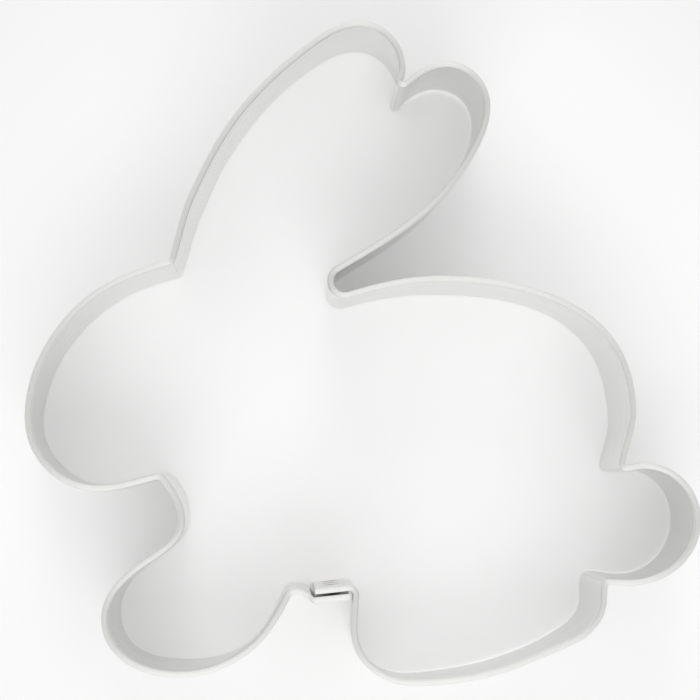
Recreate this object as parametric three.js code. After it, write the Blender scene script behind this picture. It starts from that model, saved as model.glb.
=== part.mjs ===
// A rabbit-shaped cookie cutter: one strip of thin tinplate with a hemmed top edge, bent round a form and
// closed at the belly by a spot-welded lap. Millimetres, +Z up, cutting edge on z = 0, origin at the middle
// of the outline. The strip is built as the lengths between its sharp bends, which meet face to face.

import * as THREE from 'three';

// Overall outline, over the hem
const OUTLINE_LENGTH = 88;
const OUTLINE_WIDTH = 87;

// Strip: plain cutting edge below, open hem folded outwards above
const STRIP_HEIGHT = 20;
const SHEET = 0.3;
const HEM_GAP = 0.3;
const HEM_DEPTH = 3.2;
const HEM_WIDTH = 2 * SHEET + HEM_GAP;

// Free radius left inside each kind of sharp bend, measured at the hem's outer face
const NOTCH_RADIUS = 0.2;
const CHIN_RADIUS = 0.4;
const BELLY_RADIUS = 0.5;
const JOGGLE_RADIUS = 0.5;
const CROOK_RADIUS = 1.4;

// Lap at the belly: the hind leg's end lies inside, the front leg's end steps outwards past its hem
const BELLY_RISE = 11.75;
const BELLY_FLAT = 0.4;
const LAP_HEADING = 6;
const LAP_LENGTH = 4.4;
const LAP_GAP = 0.25;
const LAP_OFFSET = HEM_WIDTH + LAP_GAP;
const LAP_END_CLEARANCE = 0.3;
const THIGH_TOP_X = -0.6;
const THIGH_TOP_HEADING = -95;
const PAW_TOP_HEADING = 64;

// Spot welds in the lap, one column
const WELD_COUNT = 3;
const WELD_DIAMETER = 2.4;
const WELD_WAIST = 1.8;

// Lines that the inner face reaches out to on the four sides
const RIGHT = OUTLINE_LENGTH / 2 - HEM_WIDTH;
const LEFT = -RIGHT;
const TOP = OUTLINE_WIDTH / 2 - HEM_WIDTH;
const BOTTOM = -TOP;

// Points that the inner face passes, counter-clockwise from above: x, y and heading in degrees from +X.
// They are measured from the lines named above them, or else from the origin.

// Bottom
const THIGH = [-0.8, 6.5, -90];
const TOE = [6.5, 0, 0];
const SOLE = [20.2, 2.45, 21.5];
const CHEST = [-23.1, 20.4, -90];
const ELBOW = [-27.6, 15, -147];
const PAW_FRONT = [-33.05, 7.8, -90];
const PAW_UNDER = [-24, 1.1, 0];
const PAW_REAR = [-15.4, 4.05, 37];

// Right and bottom
const HEEL_UNDER = [-15.8, 5.45, 26];
const HEEL = [-12.35, 10.4, 90];
const TAIL_UNDER = [-8.6, 12.85, 0];
const TAIL_END = [0, 20.5, 90];
const TAIL_TOP = [-6.5, 27.1, 180];

// Right
const RUMP = [-8.35, -8, 90];

// Right and top
const HIP = [-12.2, -40.15, 134];

// Top
const LOIN = [23, -35.5, 161.5];
const BACK_TOP = [10, -33.65, 180];
const REAR_EAR_ROOT = [10, -21.75, 47.5];
const REAR_EAR_SIDE = [14, -16.15, 62];
const REAR_EAR_WIDEST = [15.8, -10.45, 90];
const REAR_EAR_TIP = [10.9, -5.35, 180];
const FRONT_EAR_REAR = [4.65, -5.5, 92];
const FRONT_EAR_TIP = [-0.5, 0, 180];
const FRONT_EAR_SHOULDER = [-7.1, -3.15, 217];
const FRONT_EAR_SIDE = [-16.2, -12.1, 232.5];
const FRONT_EAR_ROOT = [-22.1, -22.7, 246];

// Left and top
const FOREHEAD = [6.2, -37.55, 225];

// Left
const NOSE = [0, -8.7, -90];

// Left and bottom
const CHIN = [8.6, 25.1, 0];

// Sharp bends, all to the right: x and y halfway round, then the headings in and out

// Right and bottom
const HEEL_BEND = [-11.95, 12.6, 88, 3];
const RUMP_BEND = [-9.6, 27.1, 185, 80];

// Top
const EAR_CROOK = [-4.6, -34.5, 197, 31];
const EAR_NOTCH = [4.75, -8, 216, 93];
const BROW_BEND = [-24.8, -31.3, 253, 196];

// Bottom
const CHIN_BEND = [-26.3, 26.55, 14, -50];

// Fineness of the facets
const STEP_LENGTH = 4;
const STEP_ANGLE = 9;
const BEND_STEP_ANGLE = 15;
const HEM_FACETS = 7;
const HEM_INSIDE_FACETS = 3;
const WELD_FACETS = 20;

// Directions and places on the route

function direction(heading) {
  const angle = THREE.MathUtils.degToRad(heading);
  return new THREE.Vector2(Math.cos(angle), Math.sin(angle));
}

function place(point, heading) {
  return { point, heading, ahead: direction(heading) };
}

// A place measured from an upright line and a level line of the outline
function station([x, y, heading], upright = 0, level = 0) {
  return place(new THREE.Vector2(upright + x, level + y), heading);
}

// The place reached by turning on an arc: a positive angle turns left, a negative one right
function turned(from, angle, radius) {
  const side = Math.sign(angle) * 90;
  const centre = direction(from.heading + side).multiplyScalar(radius).add(from.point);
  const point = direction(from.heading + angle - side).multiplyScalar(radius).add(centre);
  return place(point, from.heading + angle);
}

function moved(from, length) {
  return place(from.ahead.clone().multiplyScalar(length).add(from.point), from.heading);
}

// The place beside another, on the outside of the route
function beside(from, distance) {
  const outwards = direction(from.heading - 90);
  return place(outwards.multiplyScalar(distance).add(from.point), from.heading);
}

// Stretches of the route, as the places that follow their first one

function arcSteps(from, angle, radius) {
  const steps = Math.ceil(Math.abs(angle) / BEND_STEP_ANGLE);
  return Array.from({ length: steps }, (_, i) => turned(from, (angle * (i + 1)) / steps, radius));
}

// A smooth curve from one place to the next, round like an arc where the two headings allow it
function curveSteps(from, to) {
  const turn = THREE.MathUtils.euclideanModulo(to.heading - from.heading + 180, 360) - 180;
  const span = from.point.distanceTo(to.point);
  const reach = span / (3 * Math.cos(THREE.MathUtils.degToRad(turn) / 4) ** 2);
  const leave = moved(from, reach).point;
  const arrive = moved(to, -reach).point;
  const curve = new THREE.CubicBezierCurve(from.point, leave, arrive, to.point);
  const slope = new THREE.QuadraticBezierCurve(
    leave.clone().sub(from.point),
    arrive.clone().sub(leave),
    to.point.clone().sub(arrive),
  );
  const steps = Math.ceil(Math.max(Math.abs(turn) / STEP_ANGLE, span / STEP_LENGTH));
  return Array.from({ length: steps }, (_, i) => {
    const share = (i + 1) / steps;
    return { point: curve.getPoint(share), ahead: slope.getPoint(share).normalize() };
  });
}

// Sharp bends

function bendFrom(start, angle, freeRadius) {
  const radius = HEM_WIDTH + freeRadius;
  return {
    start,
    middle: turned(start, angle / 2, radius),
    end: turned(start, angle, radius),
    halfAngle: angle / 2,
    radius,
  };
}

function bendAt([x, y, headingIn, headingOut], freeRadius, upright, level) {
  const angle = headingOut - headingIn;
  const middle = station([x, y, headingIn + angle / 2], upright, level);
  const start = turned(middle, -angle / 2, -(HEM_WIDTH + freeRadius));
  return bendFrom(start, angle, freeRadius);
}

const heelBend = bendAt(HEEL_BEND, NOTCH_RADIUS, RIGHT, BOTTOM);
const rumpBend = bendAt(RUMP_BEND, NOTCH_RADIUS, RIGHT, BOTTOM);
const earCrook = bendAt(EAR_CROOK, CROOK_RADIUS, 0, TOP);
const earNotch = bendAt(EAR_NOTCH, NOTCH_RADIUS, 0, TOP);
const browBend = bendAt(BROW_BEND, NOTCH_RADIUS, 0, TOP);
const chinBend = bendAt(CHIN_BEND, CHIN_RADIUS, 0, BOTTOM);

// The lap's inner end runs from its tip to the thigh bend, whose hem the outer end stops short of
const bellyBendRadius = HEM_WIDTH + BELLY_RADIUS;
const hemRise = Math.max(BELLY_RADIUS - LAP_GAP, 0);
const outerOverrun = Math.sqrt(BELLY_RADIUS ** 2 - hemRise ** 2) - LAP_END_CLEARANCE;
const innerLapLength = LAP_LENGTH - outerOverrun;
const lapAhead = direction(LAP_HEADING);
const thighBendWidth = bellyBendRadius * (lapAhead.y - direction(THIGH_TOP_HEADING).y);
const innerTipX = THIGH_TOP_X - thighBendWidth - innerLapLength * lapAhead.x;
const bellyY = BOTTOM + BELLY_RISE;
const innerTip = station([innerTipX, bellyY, LAP_HEADING]);
const thighBend = bendFrom(
  moved(innerTip, innerLapLength),
  THIGH_TOP_HEADING - LAP_HEADING,
  BELLY_RADIUS,
);

// The outer end leaves the paw bend level, then steps out to lie beside the inner end
const joggleRadius = HEM_WIDTH + JOGGLE_RADIUS;
const outerLapStart = beside(innerTip, LAP_OFFSET);
const joggleDrop = bellyY - outerLapStart.point.y;
const joggleTurn = Math.acos((1 + lapAhead.x - joggleDrop / joggleRadius) / 2);
const joggleAngle = THREE.MathUtils.radToDeg(joggleTurn);
const joggleLength = joggleRadius * (2 * Math.sin(joggleTurn) + lapAhead.y);
const joggleStart = station([outerLapStart.point.x - joggleLength, bellyY, 0]);
const pawBendStart = turned(moved(joggleStart, -BELLY_FLAT), PAW_TOP_HEADING, -bellyBendRadius);
const pawBend = bendFrom(pawBendStart, -PAW_TOP_HEADING, BELLY_RADIUS);

// Lengths of the strip

function lengthBetween(firstBend, points, lastBend) {
  const places = [firstBend.middle, ...arcSteps(firstBend.middle, firstBend.halfAngle, firstBend.radius)];
  const stops = [firstBend.end, ...points, lastBend.start];
  for (let i = 1; i < stops.length; i += 1) {
    places.push(...curveSteps(stops[i - 1], stops[i]));
  }
  places.push(...arcSteps(lastBend.start, lastBend.halfAngle, lastBend.radius));
  return places;
}

function innerLap() {
  return [
    innerTip,
    thighBend.start,
    ...arcSteps(thighBend.start, thighBend.halfAngle, thighBend.radius),
  ];
}

function outerLap() {
  const joggleMiddle = turned(joggleStart, -joggleAngle, joggleRadius);
  return [
    pawBend.middle,
    ...arcSteps(pawBend.middle, pawBend.halfAngle, pawBend.radius),
    joggleStart,
    ...arcSteps(joggleStart, -joggleAngle, joggleRadius),
    ...arcSteps(joggleMiddle, joggleAngle + LAP_HEADING, joggleRadius),
    moved(outerLapStart, LAP_LENGTH),
  ];
}

// Section of the strip, seen along the route: x outwards from the inner face, y upwards, counter-clockwise
function hemSection() {
  const outside = HEM_WIDTH / 2;
  const inside = HEM_GAP / 2;
  const foldHeight = STRIP_HEIGHT - outside * Math.cos(Math.PI / 2 / HEM_FACETS);
  const lipEnd = STRIP_HEIGHT - HEM_DEPTH;
  const fold = (radius, share) => {
    const angle = Math.PI * share;
    return new THREE.Vector2(outside + radius * Math.cos(angle), foldHeight + radius * Math.sin(angle));
  };
  const points = [new THREE.Vector2(0, 0), new THREE.Vector2(SHEET, 0)];
  for (let i = HEM_INSIDE_FACETS; i >= 0; i -= 1) {
    points.push(fold(inside, i / HEM_INSIDE_FACETS));
  }
  points.push(new THREE.Vector2(HEM_WIDTH - SHEET, lipEnd), new THREE.Vector2(HEM_WIDTH, lipEnd));
  for (let i = 0; i <= HEM_FACETS; i += 1) {
    points.push(fold(outside, i / HEM_FACETS));
  }
  return points;
}

// A closed body with the same section at every place of the route
function sweep(places, section) {
  const positions = [];
  for (const { point, ahead } of places) {
    for (const { x: outwards, y: height } of section) {
      positions.push(point.x + ahead.y * outwards, point.y - ahead.x * outwards, height);
    }
  }
  const count = section.length;
  const indices = [];
  for (let step = 0; step + 1 < places.length; step += 1) {
    for (let i = 0; i < count; i += 1) {
      const here = step * count + i;
      const next = step * count + ((i + 1) % count);
      indices.push(here, here + count, next);
      indices.push(next, here + count, next + count);
    }
  }
  const lastRing = (places.length - 1) * count;
  for (const [a, b, c] of THREE.ShapeUtils.triangulateShape(section, [])) {
    indices.push(a, b, c);
    indices.push(lastRing + c, lastRing + b, lastRing + a);
  }
  const geometry = new THREE.BufferGeometry();
  geometry.setAttribute('position', new THREE.Float32BufferAttribute(positions, 3));
  geometry.setIndex(indices);
  geometry.computeVertexNormals();
  return geometry;
}

// Waisted nugget across the lap, from the inner wall's outer face to the outer wall's inner face
function weldNugget() {
  const halfGap = (LAP_OFFSET - SHEET) / 2;
  const profile = [
    new THREE.Vector2(0, -halfGap),
    new THREE.Vector2(WELD_DIAMETER / 2, -halfGap),
    new THREE.Vector2(WELD_WAIST / 2, 0),
    new THREE.Vector2(WELD_DIAMETER / 2, halfGap),
    new THREE.Vector2(0, halfGap),
  ];
  return new THREE.LatheGeometry(profile, WELD_FACETS);
}

// Materials

function tinplate() {
  return new THREE.MeshStandardMaterial({ color: 0xc9cac8, roughness: 0.32, metalness: 1 });
}

function weldMetal() {
  return new THREE.MeshStandardMaterial({ color: 0x9d9a95, roughness: 0.5, metalness: 1 });
}

// Assembly

const cutter = new THREE.Group();

const section = hemSection();
const lengths = {
  inner_lap: innerLap(),
  hind_leg_wall: lengthBetween(
    thighBend,
    [
      station(THIGH, 0, BOTTOM),
      station(TOE, 0, BOTTOM),
      station(SOLE, 0, BOTTOM),
      station(HEEL_UNDER, RIGHT, BOTTOM),
      station(HEEL, RIGHT, BOTTOM),
    ],
    heelBend,
  ),
  tail_wall: lengthBetween(
    heelBend,
    [
      station(TAIL_UNDER, RIGHT, BOTTOM),
      station(TAIL_END, RIGHT, BOTTOM),
      station(TAIL_TOP, RIGHT, BOTTOM),
    ],
    rumpBend,
  ),
  back_wall: lengthBetween(
    rumpBend,
    [
      station(RUMP, RIGHT, 0),
      station(HIP, RIGHT, TOP),
      station(LOIN, 0, TOP),
      station(BACK_TOP, 0, TOP),
    ],
    earCrook,
  ),
  rear_ear_wall: lengthBetween(
    earCrook,
    [
      station(REAR_EAR_ROOT, 0, TOP),
      station(REAR_EAR_SIDE, 0, TOP),
      station(REAR_EAR_WIDEST, 0, TOP),
      station(REAR_EAR_TIP, 0, TOP),
    ],
    earNotch,
  ),
  front_ear_wall: lengthBetween(
    earNotch,
    [
      station(FRONT_EAR_REAR, 0, TOP),
      station(FRONT_EAR_TIP, 0, TOP),
      station(FRONT_EAR_SHOULDER, 0, TOP),
      station(FRONT_EAR_SIDE, 0, TOP),
      station(FRONT_EAR_ROOT, 0, TOP),
    ],
    browBend,
  ),
  face_wall: lengthBetween(
    browBend,
    [station(FOREHEAD, LEFT, TOP), station(NOSE, LEFT, 0), station(CHIN, LEFT, BOTTOM)],
    chinBend,
  ),
  front_leg_wall: lengthBetween(
    chinBend,
    [
      station(CHEST, 0, BOTTOM),
      station(ELBOW, 0, BOTTOM),
      station(PAW_FRONT, 0, BOTTOM),
      station(PAW_UNDER, 0, BOTTOM),
      station(PAW_REAR, 0, BOTTOM),
    ],
    pawBend,
  ),
  outer_lap: outerLap(),
};

for (const [name, places] of Object.entries(lengths)) {
  const wall = new THREE.Mesh(sweep(places, section), tinplate());
  wall.name = name;
  cutter.add(wall);
}

const weldCentre = beside(moved(innerTip, LAP_LENGTH / 2), (SHEET + LAP_OFFSET) / 2).point;
const weldPitch = (STRIP_HEIGHT - HEM_DEPTH) / WELD_COUNT;
for (let i = 0; i < WELD_COUNT; i += 1) {
  const weld = new THREE.Mesh(weldNugget(), weldMetal());
  weld.name = `spot_weld_${i + 1}`;
  weld.position.set(weldCentre.x, weldCentre.y, (i + 0.5) * weldPitch);
  weld.rotation.z = THREE.MathUtils.degToRad(LAP_HEADING);
  cutter.add(weld);
}

export default cutter;
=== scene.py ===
"""Looks of the rabbit cookie cutter: bent tinplate strip, spot welds, pale floor and soft studio light.

Everything is in metres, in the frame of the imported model. The strip's route is read from the cutting edge of
each packed wall and swept again with a rounded, finely divided section.
"""

import math

import bmesh
import bpy
import numpy as np
from mathutils import Matrix, Vector
from mathutils.geometry import tessellate_polygon


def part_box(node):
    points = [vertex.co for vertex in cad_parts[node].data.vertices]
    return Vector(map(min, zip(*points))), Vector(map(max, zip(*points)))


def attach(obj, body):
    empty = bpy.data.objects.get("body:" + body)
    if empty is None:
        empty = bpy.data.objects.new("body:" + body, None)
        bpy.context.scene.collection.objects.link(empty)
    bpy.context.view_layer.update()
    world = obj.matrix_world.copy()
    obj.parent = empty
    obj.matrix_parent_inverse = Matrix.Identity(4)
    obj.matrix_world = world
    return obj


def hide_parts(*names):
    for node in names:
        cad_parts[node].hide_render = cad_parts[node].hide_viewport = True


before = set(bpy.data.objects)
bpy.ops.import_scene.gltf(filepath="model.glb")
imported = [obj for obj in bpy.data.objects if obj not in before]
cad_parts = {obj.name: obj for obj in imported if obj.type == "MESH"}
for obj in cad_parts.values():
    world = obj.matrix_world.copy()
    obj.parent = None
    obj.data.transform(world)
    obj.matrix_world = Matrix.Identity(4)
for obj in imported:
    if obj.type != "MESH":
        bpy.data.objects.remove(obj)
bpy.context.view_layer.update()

MM = 0.001
BODY = "root"

# The strip's lengths in the order that the strip runs, from its inner end to its outer end
WALLS = (
    "inner_lap",
    "hind_leg_wall",
    "tail_wall",
    "back_wall",
    "rear_ear_wall",
    "front_ear_wall",
    "face_wall",
    "front_leg_wall",
    "outer_lap",
)
INNER_END = WALLS[0]
OUTER_END = WALLS[-1]
WELDS = ("spot_weld_1", "spot_weld_2", "spot_weld_3")

# Fineness of the swept strip
MERGE_DISTANCE = 0.001 * MM
HEIGHT_DIGITS = 7
RING_SPACING = 0.5 * MM
LAP_RING_SPACING = 0.15 * MM
RING_TURN = math.radians(2.5)
WALL_ROWS = 10
LAP_WALL_ROWS = 90
FOLD_STEPS = 24
INSIDE_FOLD_STEPS = 10
CORNER_STEPS = 4

# Worn corners of the cut sheet
EDGE_RADIUS = 0.07 * MM
LIP_RADIUS = 0.09 * MM
TIP_RADIUS = 0.06 * MM

# Hand-bent sheet: how far the cutting edge strays outwards, in mm, at shares of each wall's length
STRAYS = {
    "hind_leg_wall": ((0.30, 0.72), (0.52, 0.46), (0.70, 0.55), (0.87, 0.0), (1.0, -0.40)),
    "tail_wall": ((0.27, 0.33), (0.55, 0.10), (0.70, 0.18)),
    "back_wall": ((0.05, 0.15), (0.18, -0.20), (0.45, 0.33), (0.72, -0.05), (0.93, 0.22)),
    "rear_ear_wall": ((0.30, 0.0), (0.68, -0.10), (0.80, 0.30), (0.95, 0.66), (1.0, 0.0)),
    "front_ear_wall": ((0.06, 0.55), (0.20, 0.38), (0.40, 0.55), (0.66, 0.07), (0.85, -0.22)),
    "face_wall": ((0.12, 0.14), (0.25, 0.02), (0.45, 0.24), (0.59, 0.50), (0.75, 0.07)),
    "front_leg_wall": (
        (0.05, -0.20),
        (0.14, 0.30),
        (0.30, 0.0),
        (0.44, -0.30),
        (0.54, 0.12),
        (0.65, -0.15),
        (0.82, 0.50),
        (1.0, 0.0),
    ),
}

# Hand-bent sheet: how far the cutting edge stands clear of the floor, listed in the same way
LIFTS = {
    "hind_leg_wall": ((0.22, 0.05), (0.35, 0.40), (0.65, 0.55), (0.88, 0.40)),
    "tail_wall": ((0.05, 0.35), (0.30, 0.40), (0.60, 0.25)),
    "back_wall": ((0.10, 0.05), (0.60, 0.0)),
    "rear_ear_wall": ((0.50, 0.05), (0.82, 0.50)),
    "front_ear_wall": ((0.12, 0.15), (0.30, 0.05)),
    "face_wall": ((0.20, 0.0),),
}

# Hand-bent sheet: how far the whole wall lies further out, listed in the same way
SHIFTS = {
    "outer_lap": ((0.18, 0.0), (0.37, -0.45), (0.475, 0.0)),
}

# Marks of the spot-welding tips on the lap's two faces
DIMPLE_DEPTH = 0.12 * MM
DIMPLE_RADIUS = 1.1 * MM
FAR_FROM_WELDS = 1.0
WELD_SEGMENTS = 48
WELD_STEPS = 12
WELD_WAIST = 0.74
WELD_FLARE_POWER = 1.8

# Texture units: one unit of the strip's map is this long on the sheet
MAP_UNIT = 100 * MM


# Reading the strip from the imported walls


def cutting_edge_loop(mesh):
    """Points round the face that the wall stands on, in order."""
    standing = {face for face in mesh.faces if all(v.co.z < MERGE_DISTANCE for v in face.verts)}
    follows = {}
    for face in standing:
        for corner in face.loops:
            neighbours = set(corner.edge.link_faces) - {face}
            if not neighbours & standing:
                follows[corner.vert] = corner.link_loop_next.vert
    vert = next(iter(follows))
    loop = []
    while len(loop) < len(follows):
        loop.append(vert.co.xy)
        vert = follows[vert]
    return np.array(loop)


def long_sides(loop):
    """The loop's two long sides, as two lists of points that run the same way, end beside end."""
    ahead = np.roll(loop, -1, axis=0) - loop
    ahead /= np.linalg.norm(ahead, axis=1)[:, None]
    straightness = (ahead * np.roll(ahead, 1, axis=0)).sum(axis=1)
    corners = sorted(np.argsort(straightness)[:4])
    half = len(loop) // 2
    first = next(i for i in corners if (i + half - 1) % len(loop) in corners)
    loop = np.roll(loop, -first, axis=0)
    return loop[:half], loop[half:][::-1]


def ahead_of(outward):
    """Directions in which the strip runs, from its outward directions."""
    return np.stack([-outward[:, 1], outward[:, 0]], axis=1)


def read_wall(name):
    """The wall's inner face on the floor, its outward directions there, and the sizes of its section."""
    mesh = bmesh.new()
    mesh.from_mesh(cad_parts[name].data)
    bmesh.ops.remove_doubles(mesh, verts=mesh.verts, dist=MERGE_DISTANCE)
    sides = long_sides(cutting_edge_loop(mesh))
    heights = sorted({round(v.co.z, HEIGHT_DIGITS) for v in mesh.verts})
    lip_height = heights[1]
    lip = np.array([v.co.xy for v in mesh.verts if abs(v.co.z - lip_height) < MERGE_DISTANCE])
    mesh.free()

    def lip_distances(points):
        return np.linalg.norm(points[:, None] - lip[None], axis=2).min(axis=1)

    outer, inner = sorted(sides, key=lambda side: lip_distances(side).mean())
    across = outer - inner
    thickness = np.linalg.norm(across, axis=1)
    outward = across / thickness[:, None]
    if (ahead_of(outward)[:-1] * np.diff(inner, axis=0)).sum() < 0:
        inner = inner[::-1]
        outward = outward[::-1]
    sheet = thickness.mean()
    sizes = {
        "sheet": sheet,
        "hem": 2 * sheet + lip_distances(outer).mean(),
        "lip": lip_height,
        "height": heights[-1],
    }
    return inner, outward, sizes


# The strip's route


def smooth_route(points, outward, spacing):
    """Points and outward directions of a smooth curve through the wall's corners, at most spacing apart."""
    ahead = ahead_of(outward)
    places = [points[0]]
    aheads = [ahead[0]]
    for i in range(len(points) - 1):
        chord = np.linalg.norm(points[i + 1] - points[i])
        turn = math.acos(min(1.0, ahead[i] @ ahead[i + 1]))
        # Tangents of this length make the curve follow a round bend
        reach = chord / math.cos(turn / 4) ** 2
        steps = math.ceil(max(chord / spacing, turn / RING_TURN, 1))
        for step in range(1, steps + 1):
            t = step / steps
            place = (
                (2 * t**3 - 3 * t**2 + 1) * points[i]
                + (t**3 - 2 * t**2 + t) * reach * ahead[i]
                + (3 * t**2 - 2 * t**3) * points[i + 1]
                + (t**3 - t**2) * reach * ahead[i + 1]
            )
            slope = (
                (6 * t**2 - 6 * t) * (points[i] - points[i + 1])
                + (3 * t**2 - 4 * t + 1) * reach * ahead[i]
                + (3 * t**2 - 2 * t) * reach * ahead[i + 1]
            )
            places.append(place)
            aheads.append(slope / np.linalg.norm(slope))
    aheads = np.array(aheads)
    return np.array(places), np.stack([aheads[:, 1], -aheads[:, 0]], axis=1)


def worn_tip(places, outward):
    """The route with its last ring spread into a few, each inset a little more, as a worn free end."""
    back = places[-2] - places[-1]
    back /= np.linalg.norm(back)
    angles = np.linspace(0, math.pi / 2, CORNER_STEPS + 1)[:, None]
    tip = places[-1] + back * TIP_RADIUS * (1 - np.sin(angles))
    insets = np.concatenate([np.zeros(len(places) - 1), TIP_RADIUS * (1 - np.cos(angles[:, 0]))])
    places = np.vstack([places[:-1], tip])
    outward = np.vstack([outward[:-1], np.repeat(outward[-1:], len(tip), axis=0)])
    return places, outward, insets


def read_strip():
    """All walls in order, each with its rings, their lengths along the strip and its section's sizes."""
    strip = {}
    start = 0.0
    for name in WALLS:
        points, outward, sizes = read_wall(name)
        spacing = LAP_RING_SPACING if name in (INNER_END, OUTER_END) else RING_SPACING
        places, outward = smooth_route(points, outward, spacing)
        insets = np.zeros(len(places))
        if name == INNER_END:
            places, outward, insets = (rings[::-1] for rings in worn_tip(places[::-1], outward[::-1]))
        if name == OUTER_END:
            places, outward, insets = worn_tip(places, outward)
        steps = np.linalg.norm(np.diff(places, axis=0), axis=1)
        lengths = start + np.concatenate([[0], np.cumsum(steps)])
        start = lengths[-1]
        strip[name] = {
            "places": places,
            "outward": outward,
            "insets": insets,
            "lengths": lengths,
            "sizes": sizes,
        }
    return strip


def eased(strip, marks, lengths):
    """Values between marks along the strip, level at each mark, and their slopes. Both ends are at zero."""
    knots = [(strip[INNER_END]["lengths"][-1], 0.0)]
    for name, wall_marks in marks.items():
        first, last = strip[name]["lengths"][[0, -1]]
        knots += [(first + share * (last - first), value * MM) for share, value in wall_marks]
    knots.append((strip[OUTER_END]["lengths"][-1], 0.0))
    at, values = np.array(knots).T
    i = np.clip(np.searchsorted(at, lengths) - 1, 0, len(at) - 2)
    span = at[i + 1] - at[i]
    share = np.clip((lengths - at[i]) / span, 0, 1)
    rise = values[i + 1] - values[i]
    return values[i] + rise * share**2 * (3 - 2 * share), rise * 6 * share * (1 - share) / span


# The strip's section


def arc(centre, radius, start, end, steps, facing):
    """Points and normals of an arc. Facing is 1 where the metal lies inside the arc, and -1 outside it."""
    angles = np.radians(np.linspace(start, end, steps + 1))
    normals = np.stack([np.cos(angles), np.sin(angles)], axis=1)
    return np.array(centre) + radius * normals, facing * normals


def straight(start, end, normal, rows):
    """Points between two ends that other stretches hold already."""
    shares = np.arange(1, rows)[:, None] / rows
    points = np.array(start) + shares * (np.array(end) - np.array(start))
    return points, np.repeat([normal], rows - 1, axis=0)


def hem_section(sizes, rows):
    """Closed section, counter-clockwise: x outwards from the inner face, y upwards, with normals."""
    sheet = sizes["sheet"]
    hem = sizes["hem"]
    lip = sizes["lip"]
    fold = sizes["height"] - hem / 2
    gap = hem / 2 - sheet
    stretches = [
        arc((EDGE_RADIUS, EDGE_RADIUS), EDGE_RADIUS, 180, 270, CORNER_STEPS, 1),
        arc((sheet - EDGE_RADIUS, EDGE_RADIUS), EDGE_RADIUS, 270, 360, CORNER_STEPS, 1),
        straight((sheet, EDGE_RADIUS), (sheet, fold), (1, 0), rows),
        arc((hem / 2, fold), gap, 180, 0, INSIDE_FOLD_STEPS, -1),
        arc((hem - sheet + LIP_RADIUS, lip + LIP_RADIUS), LIP_RADIUS, 180, 270, CORNER_STEPS, 1),
        arc((hem - LIP_RADIUS, lip + LIP_RADIUS), LIP_RADIUS, 270, 360, CORNER_STEPS, 1),
        arc((hem / 2, fold), hem / 2, 0, 180, FOLD_STEPS, 1),
        straight((0, fold), (0, EDGE_RADIUS), (-1, 0), rows),
    ]
    points = np.vstack([stretch[0] for stretch in stretches])
    normals = np.vstack([stretch[1] for stretch in stretches])
    return points, normals


# Swept walls


def weld_centres():
    return [np.array((low + high) / 2) for low, high in (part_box(name) for name in WELDS)]


def press_dimples(positions, across):
    """Depth and slope of the welding tips' marks at each point, and its distance from the nearest weld."""
    depth = np.zeros(len(positions))
    slope = np.zeros((len(positions), 3))
    nearest = np.full(len(positions), FAR_FROM_WELDS)
    for centre in weld_centres():
        away = positions - centre
        away -= (away * across).sum(axis=1)[:, None] * across
        distance = np.linalg.norm(away, axis=1)
        share = np.clip(1 - distance / DIMPLE_RADIUS, 0, 1)
        depth += DIMPLE_DEPTH * share**2 * (3 - 2 * share)
        fall = -DIMPLE_DEPTH / DIMPLE_RADIUS * 6 * share * (1 - share)
        slope += (fall / np.maximum(distance, MERGE_DISTANCE))[:, None] * away
        nearest = np.minimum(nearest, distance)
    return depth, slope, nearest


def end_cap(section, first_vertex, faces_back):
    """Triangles that close the sweep at one end."""
    faces = []
    for a, b, c in tessellate_polygon([[Vector((x, y, 0)) for x, y in section]]):
        (ax, ay), (bx, by), (cx, cy) = section[a], section[b], section[c]
        left_turn = (bx - ax) * (cy - ay) - (by - ay) * (cx - ax) > 0
        order = (a, b, c) if left_turn != faces_back else (a, c, b)
        faces.append([first_vertex + i for i in order])
    return faces


def wall_surface(strip, name):
    """Points, normals and weld distances of a wall, ring by ring, with its section."""
    wall = strip[name]
    on_lap = name in (INNER_END, OUTER_END)
    section, section_normals = hem_section(wall["sizes"], LAP_WALL_ROWS if on_lap else WALL_ROWS)
    rings = len(wall["places"])
    count = len(section)
    across = np.zeros((rings, count, 3))
    across[:, :, :2] = wall["outward"][:, None]
    ahead = np.zeros((rings, count, 3))
    ahead[:, :, :2] = ahead_of(wall["outward"])[:, None]
    upward = np.array([0.0, 0.0, 1.0])

    normals = across * section_normals[None, :, :1] + upward * section_normals[None, :, 1:]
    offsets = section[None] - wall["insets"][:, None, None] * section_normals[None]
    stray, stray_slope = eased(strip, STRAYS, wall["lengths"])
    shift, shift_slope = eased(strip, SHIFTS, wall["lengths"])
    lift = eased(strip, LIFTS, wall["lengths"])[0]
    height = wall["sizes"]["height"]
    below_top = 1 - offsets[:, :, 1:] / height
    out = offsets[:, :, :1] + shift[:, None, None] + stray[:, None, None] * below_top
    up = offsets[:, :, 1:] + lift[:, None, None] * below_top
    positions = across * out + upward * up
    positions[:, :, :2] += wall["places"][:, None]
    run_slope = shift_slope[:, None, None] + stray_slope[:, None, None] * below_top
    slope = run_slope * ahead - stray[:, None, None] / height * upward

    positions = positions.reshape(-1, 3)
    normals = normals.reshape(-1, 3)
    across = across.reshape(-1, 3)
    slope = slope.reshape(-1, 3)
    nearest = np.full(len(positions), FAR_FROM_WELDS)
    if on_lap:
        depth, dimple_slope, nearest = press_dimples(positions, across)
        pressed = 1 if name == INNER_END else -1
        positions += pressed * depth[:, None] * across
        slope += pressed * dimple_slope
    normals -= (normals * across).sum(axis=1)[:, None] * slope
    normals /= np.linalg.norm(normals, axis=1)[:, None]
    return section, positions, normals, nearest


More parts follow.
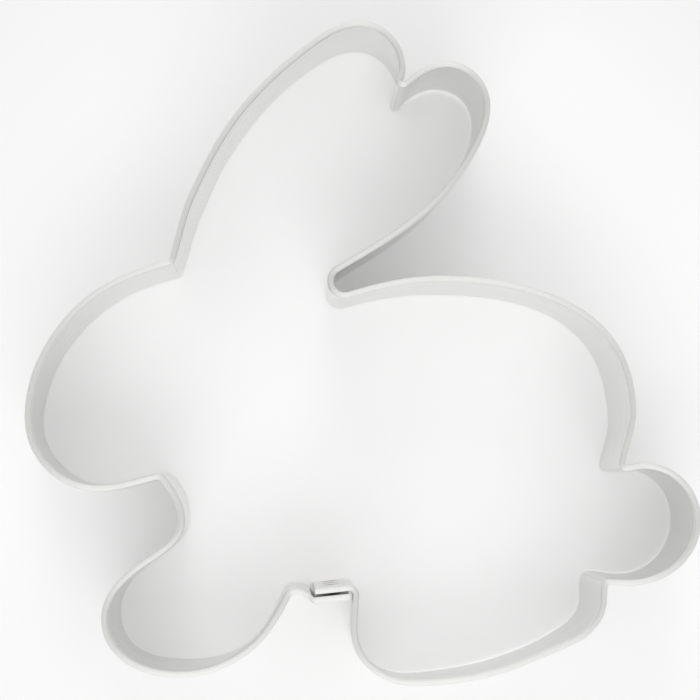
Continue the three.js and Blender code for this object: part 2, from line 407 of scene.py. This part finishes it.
def wall_piece(strip, name):
    """One length of the strip as a mesh object."""
    wall = strip[name]
    section, positions, normals, nearest = wall_surface(strip, name)
    count = len(section)
    rings = len(wall["places"])
    last_ring = (rings - 1) * count
    faces = []
    for ring in range(rings - 1):
        for i in range(count):
            here = ring * count + i
            beside = ring * count + (i + 1) % count
            faces.append((here, here + count, beside + count, beside))
    side_faces = len(faces)
    faces += end_cap(section, 0, True)
    capped_faces = len(faces)
    faces += end_cap(section, last_ring, False)

    widths = np.concatenate([[0], np.cumsum(np.linalg.norm(np.diff(section, axis=0), axis=1))])
    full_width = widths[-1] + np.linalg.norm(section[0] - section[-1])
    run = np.pad(ahead_of(wall["outward"]), ((0, 0), (0, 1)))
    corner_normals = []
    corner_places = []
    for index, face in enumerate(faces):
        closes_section = index < side_faces and index % count == count - 1
        for vertex in face:
            ring, i = divmod(vertex, count)
            width = full_width if closes_section and i == 0 else widths[i]
            corner_places += [wall["lengths"][ring] / MAP_UNIT, width / MAP_UNIT]
            if index < side_faces:
                corner_normals.append(normals[vertex])
            else:
                corner_normals.append(-run[0] if index < capped_faces else run[-1])

    mesh = bpy.data.meshes.new(name + "_sheet")
    mesh.from_pydata(positions.tolist(), [], faces)
    mesh.polygons.foreach_set("use_smooth", [True] * len(faces))
    mesh.uv_layers.new(name="strip").data.foreach_set("uv", corner_places)
    mesh.normals_split_custom_set(corner_normals)
    marks = mesh.attributes.new("weld_distance", "FLOAT", "POINT")
    marks.data.foreach_set("value", (nearest / MM).astype(np.float32))
    piece = bpy.data.objects.new(name + "_sheet", mesh)
    bpy.context.scene.collection.objects.link(piece)
    return piece


# Spot welds


def weld_piece(name, axis):
    """A fused nugget between the two walls, waisted, that flares where it meets each wall."""
    low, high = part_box(name)
    centre = (low + high) / 2
    radius = (high.z - low.z) / 2
    reach = max(abs((vertex.co - centre) @ axis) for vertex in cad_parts[name].data.vertices)
    half = reach - DIMPLE_DEPTH / 2
    profile = [(0.0, -half)]
    for share in np.linspace(-1, 1, WELD_STEPS + 1):
        flare = WELD_WAIST + (1 - WELD_WAIST) * abs(share) ** WELD_FLARE_POWER
        profile.append((radius * flare, share * half))
    profile.append((0.0, half))
    mesh = bmesh.new()
    verts = [mesh.verts.new((out, 0, along)) for out, along in profile]
    edges = [mesh.edges.new(pair) for pair in zip(verts, verts[1:])]
    bmesh.ops.spin(
        mesh,
        geom=verts + edges,
        axis=(0, 0, 1),
        cent=(0, 0, 0),
        angle=2 * math.pi,
        steps=WELD_SEGMENTS,
        use_merge=True,
    )
    bmesh.ops.remove_doubles(mesh, verts=mesh.verts, dist=MERGE_DISTANCE)
    bmesh.ops.recalc_face_normals(mesh, faces=mesh.faces)
    turn = axis.to_track_quat("Z", "Y").to_matrix().to_4x4()
    mesh.transform(Matrix.Translation(centre) @ turn)
    data = bpy.data.meshes.new(name + "_nugget")
    mesh.to_mesh(data)
    mesh.free()
    data.polygons.foreach_set("use_smooth", [True] * len(data.polygons))
    piece = bpy.data.objects.new(name + "_nugget", data)
    bpy.context.scene.collection.objects.link(piece)
    return piece


# Materials


# Sockets of a mix node that hold its share and its colours
MIX_SHARE = 0
MIX_FIRST = 6
MIX_SECOND = 7
MIX_RESULT = 2


class Graph:
    """Short calls for building a material's nodes. An input is a value or another node's output."""

    def __init__(self, name):
        self.material = bpy.data.materials.new(name)
        self.material.use_nodes = True
        self.tree = self.material.node_tree
        self.shader = self.tree.nodes["Principled BSDF"]

    def feed(self, socket, value):
        if isinstance(value, bpy.types.NodeSocket):
            self.tree.links.new(value, socket)
        else:
            socket.default_value = value

    def shade(self, **inputs):
        for name, value in inputs.items():
            self.feed(self.shader.inputs[name.replace("_", " ")], value)

    def node(self, kind, inputs=None, **settings):
        made = self.tree.nodes.new("ShaderNode" + kind)
        for name, value in settings.items():
            setattr(made, name, value)
        for name, value in (inputs or {}).items():
            self.feed(made.inputs[name], value)
        return made

    def math(self, operation, *values):
        made = self.node("Math", dict(enumerate(values)), operation=operation)
        return made.outputs["Value"]

    def step(self, value, none, full):
        """Rises smoothly from 0 to 1 as the value passes from none to full."""
        inputs = {"Value": value, "From Min": none, "From Max": full}
        return self.node("MapRange", inputs, interpolation_type="SMOOTHSTEP").outputs["Result"]

    def stretch(self, vector, factors):
        return self.node("VectorMath", {0: vector, 1: factors}, operation="MULTIPLY").outputs["Vector"]

    def turn(self, vector, degrees):
        inputs = {"Vector": vector, "Angle": math.radians(degrees)}
        return self.node("VectorRotate", inputs, rotation_type="Z_AXIS").outputs["Vector"]

    def noise(self, vector, detail, scale=1.0):
        inputs = {"Vector": vector, "Scale": scale, "Detail": detail}
        return self.node("TexNoise", inputs).outputs["Fac"]

    def mix(self, share, first, second):
        made = self.node("Mix", data_type="RGBA")
        self.feed(made.inputs[MIX_SHARE], share)
        self.feed(made.inputs[MIX_FIRST], first)
        self.feed(made.inputs[MIX_SECOND], second)
        return made.outputs[MIX_RESULT]


WHITE = (1, 1, 1, 1)

# Colours of the sheet
TIN = (0.865, 0.865, 0.855, 1)
TIN_STREAK = (0.835, 0.835, 0.825, 1)
TIN_AT_GRAZING = (0.92, 0.92, 0.915, 1)
# The fold's colour is partly wear and partly painted light: it sets how light the rim looks under the lamps,
# not only the metal's own tone.
FOLD_WEAR_AND_PAINTED_LIGHT = (0.93, 0.93, 0.915, 1)
TIN_SPECK = (0.20, 0.19, 0.18, 1)
BARE_STEEL = (0.78, 0.775, 0.765, 1)
HEAT_STRAW = (0.72, 0.64, 0.48, 1)
HEAT_GREY = (0.42, 0.41, 0.42, 1)
STRAW_SHARE = 0.5

# Roughness of the plain sheet and of the worn fold, and what the sheet's marks add to it
TIN_ROUGHNESS = 0.24
FOLD_ROUGHNESS = 0.73
STREAK_ROUGHNESS = 0.06
CLOUD_ROUGHNESS = 0.08
SCRATCH_ROUGHNESS = 0.06
SPECK_ROUGHNESS = 0.3
HEAT_ROUGHNESS = 0.15

# Relief of the sheet's grain, and how far and which way the worn fold's grain draws a highlight out
GRAIN_HEIGHT = 0.002 * MM
SCRATCH_DEPTH = 0.7
FOLD_GRAIN = 0.6
FOLD_GRAIN_TURN = 0.25

# Waves per millimetre along the strip and across it
GRAIN_WAVES = (0.12, 14, 1)
STREAK_WAVES = (0.03, 0.9, 1)
CLOUD_WAVES = (0.16, 0.16, 1)
SHALLOW_SCRATCH_WAVES = (0.3, 20, 1)
STEEP_SCRATCH_WAVES = (0.4, 24, 1)
SHALLOW_SCRATCH_TURN = 6
STEEP_SCRATCH_TURN = -28
SPECKS_PER_MM = 0.13
SPECK_CHANCE = 0.38

# Where each mark begins and where it is full: noise levels, cell sizes, heights, and mm from a weld
STREAK_LEVELS = (0.35, 0.75)
SHALLOW_SCRATCH_LEVELS = (0.70, 0.75)
STEEP_SCRATCH_LEVELS = (0.72, 0.77)
SPECK_EDGE = (0.028, 0.012)
CUT_EDGE_HEIGHTS = (0.2 * MM, 0.05 * MM)
FOLD_HEIGHTS = (19.6 * MM, 19.9 * MM)
STRAW_RING = (2.3, 1.3)
GREY_SPOT = (1.35, 0.8)


def tinplate():
    """Rolled tinplate: lengthwise grain, soft streaks, faint scratches, specks and the welds' heat marks."""
    graph = Graph("rolled_tinplate")
    sheet = graph.node("UVMap", uv_map="strip").outputs["UV"]
    millimetres = graph.stretch(sheet, (MAP_UNIT / MM, MAP_UNIT / MM, 1))
    grain = graph.noise(graph.stretch(millimetres, GRAIN_WAVES), detail=3)
    streaks = graph.noise(graph.stretch(millimetres, STREAK_WAVES), detail=3)
    clouds = graph.noise(graph.stretch(millimetres, CLOUD_WAVES), detail=2)

    shallow = graph.turn(millimetres, SHALLOW_SCRATCH_TURN)
    shallow = graph.noise(graph.stretch(shallow, SHALLOW_SCRATCH_WAVES), detail=1)
    shallow = graph.step(shallow, *SHALLOW_SCRATCH_LEVELS)
    steep = graph.turn(millimetres, STEEP_SCRATCH_TURN)
    steep = graph.noise(graph.stretch(steep, STEEP_SCRATCH_WAVES), detail=1)
    steep = graph.step(steep, *STEEP_SCRATCH_LEVELS)
    scratches = graph.math("MAXIMUM", shallow, steep)

    cells = graph.node("TexVoronoi", {"Vector": millimetres, "Scale": SPECKS_PER_MM})
    chosen = graph.math("GREATER_THAN", cells.outputs["Color"], 1 - SPECK_CHANCE)
    specks = graph.math("MULTIPLY", graph.step(cells.outputs["Distance"], *SPECK_EDGE), chosen)

    place = graph.node("TexCoord").outputs["Object"]
    height = graph.node("SeparateXYZ", {"Vector": place}).outputs["Z"]
    cut_edge = graph.step(height, *CUT_EDGE_HEIGHTS)
    fold = graph.step(height, *FOLD_HEIGHTS)

    weld = graph.node("Attribute", attribute_name="weld_distance").outputs["Fac"]
    straw = graph.step(weld, *STRAW_RING)
    grey = graph.step(weld, *GREY_SPOT)

    colour = graph.mix(graph.step(streaks, *STREAK_LEVELS), TIN, TIN_STREAK)
    # Paler band along the fold: wear and painted light on the rim
    colour = graph.mix(fold, colour, FOLD_WEAR_AND_PAINTED_LIGHT)
    colour = graph.mix(cut_edge, colour, BARE_STEEL)
    colour = graph.mix(graph.math("MULTIPLY", straw, STRAW_SHARE), colour, HEAT_STRAW)
    colour = graph.mix(grey, colour, HEAT_GREY)
    colour = graph.mix(specks, colour, TIN_SPECK)

    roughness = TIN_ROUGHNESS - CLOUD_ROUGHNESS
    for mark, added in (
        (streaks, STREAK_ROUGHNESS),
        (clouds, CLOUD_ROUGHNESS),
        (scratches, SCRATCH_ROUGHNESS),
        (fold, FOLD_ROUGHNESS - TIN_ROUGHNESS),
        (specks, SPECK_ROUGHNESS),
        (grey, HEAT_ROUGHNESS),
    ):
        roughness = graph.math("MULTIPLY_ADD", mark, added, roughness)

    relief = graph.math("MULTIPLY_ADD", scratches, -SCRATCH_DEPTH, grain)
    bump = graph.node("Bump", {"Height": relief, "Distance": GRAIN_HEIGHT, "Strength": 1.0})
    along = graph.node("Tangent", direction_type="UV_MAP", uv_map="strip").outputs["Tangent"]
    drawn_out = graph.math("MULTIPLY", fold, FOLD_GRAIN)
    graph.shade(Metallic=1.0, Base_Color=colour, Specular_Tint=TIN_AT_GRAZING)
    graph.shade(Roughness=roughness, Normal=bump.outputs["Normal"])
    graph.shade(Anisotropic=drawn_out, Anisotropic_Rotation=FOLD_GRAIN_TURN, Tangent=along)
    return graph.material


WELD_DARK = (0.40, 0.39, 0.38, 1)
WELD_PALE = (0.58, 0.55, 0.50, 1)
WELD_ROUGHNESS = 0.48
WELD_SCALE_WAVES = 3 / MM
WELD_SCALE_HEIGHT = 0.02 * MM
WELD_SCALE_STRENGTH = 0.6


def weld_metal():
    """Fused metal, dull and a little scaly."""
    graph = Graph("fused_metal")
    place = graph.node("TexCoord").outputs["Object"]
    scale = graph.noise(place, detail=4, scale=WELD_SCALE_WAVES)
    colour = graph.mix(scale, WELD_DARK, WELD_PALE)
    relief = {"Height": scale, "Distance": WELD_SCALE_HEIGHT, "Strength": WELD_SCALE_STRENGTH}
    bump = graph.node("Bump", relief)
    graph.shade(Metallic=1.0, Base_Color=colour)
    graph.shade(Roughness=WELD_ROUGHNESS, Normal=bump.outputs["Normal"])
    return graph.material


# The floor's colour in the middle, round the cutter and far away, and how far from the middle each lies. These
# are painted light and shade, not the table's own paint: a painted shade in the middle, painted light round
# the cutter that lifts its shadows there, and a painted falloff of light far away.
FLOOR_MIDDLE_PAINTED_SHADE = (0.865, 0.865, 0.865, 1)
FLOOR_RING_PAINTED_LIGHT = (0.915, 0.915, 0.915, 1)
FLOOR_FAR_PAINTED_FALLOFF = (0.82, 0.82, 0.82, 1)
FLOOR_NEAR_REACH = 35 * MM
FLOOR_FAR_REACH = 75 * MM
FLOOR_MOTTLE = (0.985, 0.985, 0.985, 1)
FLOOR_MOTTLE_WAVES = 40
FLOOR_ROUGHNESS = 0.6
FLOOR_SHEEN = 0.25
FLOOR_GLOW = 0.22


def floor_paint():
    """Smooth pale table, its colour painted with light and shade: darker in the middle, palest round the
    cutter and darker far away. Its glow shows straight and in the metal only.
    """
    graph = Graph("pale_floor")
    place = graph.node("TexCoord").outputs["Object"]
    distance = graph.node("VectorMath", {0: place}, operation="LENGTH").outputs["Value"]
    # Painted shade in the middle, painted light round the cutter, and a painted falloff further out
    colour = graph.mix(graph.step(distance, 0.0, FLOOR_NEAR_REACH), FLOOR_MIDDLE_PAINTED_SHADE, FLOOR_RING_PAINTED_LIGHT)
    colour = graph.mix(graph.step(distance, FLOOR_NEAR_REACH, FLOOR_FAR_REACH), colour, FLOOR_FAR_PAINTED_FALLOFF)
    mottle = graph.noise(place, detail=2, scale=FLOOR_MOTTLE_WAVES)
    mottle = graph.mix(mottle, WHITE, FLOOR_MOTTLE)
    colour = graph.stretch(colour, mottle)
    ray = graph.node("LightPath").outputs
    seen = graph.math("MAXIMUM", ray["Is Camera Ray"], ray["Is Glossy Ray"])
    seen = graph.math("MAXIMUM", seen, ray["Is Transmission Ray"])
    glow = graph.math("MULTIPLY", seen, FLOOR_GLOW)
    graph.shade(Base_Color=colour, Roughness=FLOOR_ROUGHNESS, Specular_IOR_Level=FLOOR_SHEEN)
    graph.shade(Emission_Color=WHITE, Emission_Strength=glow)
    return graph.material


# Stage

FLOOR_SIZE = 6.0
FLOOR_DROP = 0.02 * MM


def make_floor():
    bpy.ops.mesh.primitive_plane_add(size=FLOOR_SIZE)
    floor = bpy.context.object
    floor.name = "floor"
    floor.location.z = -FLOOR_DROP
    floor.data.materials.append(floor_paint())


# Lamps that all aim at the cutter's middle: name, place and size in metres, and power in watts
LAMPS = (
    ("top_lamp", (0.0, 0.0, 0.6), (0.7, 0.7), 0.36),
    ("front_lamp", (0.0, -0.24, 0.26), (0.3, 0.2), 0.30),
    ("back_lamp", (0.0, 1.0, 0.7), (0.5, 0.5), 1.80),
)

# How bright the sky is from the two sides, from the front and back, and from above
SKY_LEVELS = (0.24, 0.62, 0.74)


def area_lamp(name, place, size, power):
    lamp = bpy.data.lights.new(name, "AREA")
    lamp.shape = "RECTANGLE"
    lamp.size, lamp.size_y = size
    lamp.energy = power
    holder = bpy.data.objects.new(name, lamp)
    holder.location = place
    aim = Vector() - Vector(place)
    holder.rotation_euler = aim.to_track_quat("-Z", "Y").to_euler()
    bpy.context.scene.collection.objects.link(holder)


def make_sky():
    world = bpy.data.worlds.new("studio")
    world.use_nodes = True
    nodes = world.node_tree.nodes
    link = world.node_tree.links.new
    heading = nodes.new("ShaderNodeTexCoord").outputs["Generated"]
    square = nodes.new("ShaderNodeVectorMath")
    square.operation = "MULTIPLY"
    link(heading, square.inputs[0])
    link(heading, square.inputs[1])
    level = nodes.new("ShaderNodeVectorMath")
    level.operation = "DOT_PRODUCT"
    link(square.outputs["Vector"], level.inputs[0])
    level.inputs[1].default_value = SKY_LEVELS
    background = nodes["Background"]
    background.inputs["Color"].default_value = WHITE
    link(level.outputs["Value"], background.inputs["Strength"])
    bpy.context.scene.world = world


def make_lights():
    for lamp in LAMPS:
        area_lamp(*lamp)
    make_sky()


# The photograph's camera: almost straight above, leaning a few degrees towards the ears and the tail
CAMERA_PLACE = Vector((-10.18, -18.10, 316.46)) * MM
CAMERA_TILT = math.radians(3.851)
CAMERA_LEAN = Vector((0.4199, 0.9076, 0))
CAMERA_LENS = 117.36
SENSOR = 36.0
CAMERA_NEAREST = 0.01
CAMERA_FURTHEST = 20


def make_camera():
    data = bpy.data.cameras.new("camera")
    data.sensor_width = SENSOR
    data.lens = CAMERA_LENS
    data.clip_start = CAMERA_NEAREST
    data.clip_end = CAMERA_FURTHEST
    camera = bpy.data.objects.new("camera", data)
    forward = math.cos(CAMERA_TILT) * Vector((0, 0, -1)) + math.sin(CAMERA_TILT) * CAMERA_LEAN
    right = forward.cross(Vector((0, 1, 0))).normalized()
    up = right.cross(forward)
    axes = Matrix((right, up, -forward)).transposed()
    camera.matrix_world = Matrix.Translation(CAMERA_PLACE) @ axes.to_4x4()
    bpy.context.scene.collection.objects.link(camera)
    bpy.context.scene.camera = camera


def make_cutter():
    strip = read_strip()
    metal = tinplate()
    for name in WALLS:
        piece = wall_piece(strip, name)
        piece.data.materials.append(metal)
        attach(piece, BODY)
        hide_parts(name)
    fused = weld_metal()
    axis = Vector((*strip[INNER_END]["outward"][0], 0))
    for name in WELDS:
        piece = weld_piece(name, axis)
        piece.data.materials.append(fused)
        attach(piece, BODY)
        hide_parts(name)


make_camera()
make_cutter()
make_floor()
make_lights()

bpy.context.scene.view_settings.view_transform = "Standard"
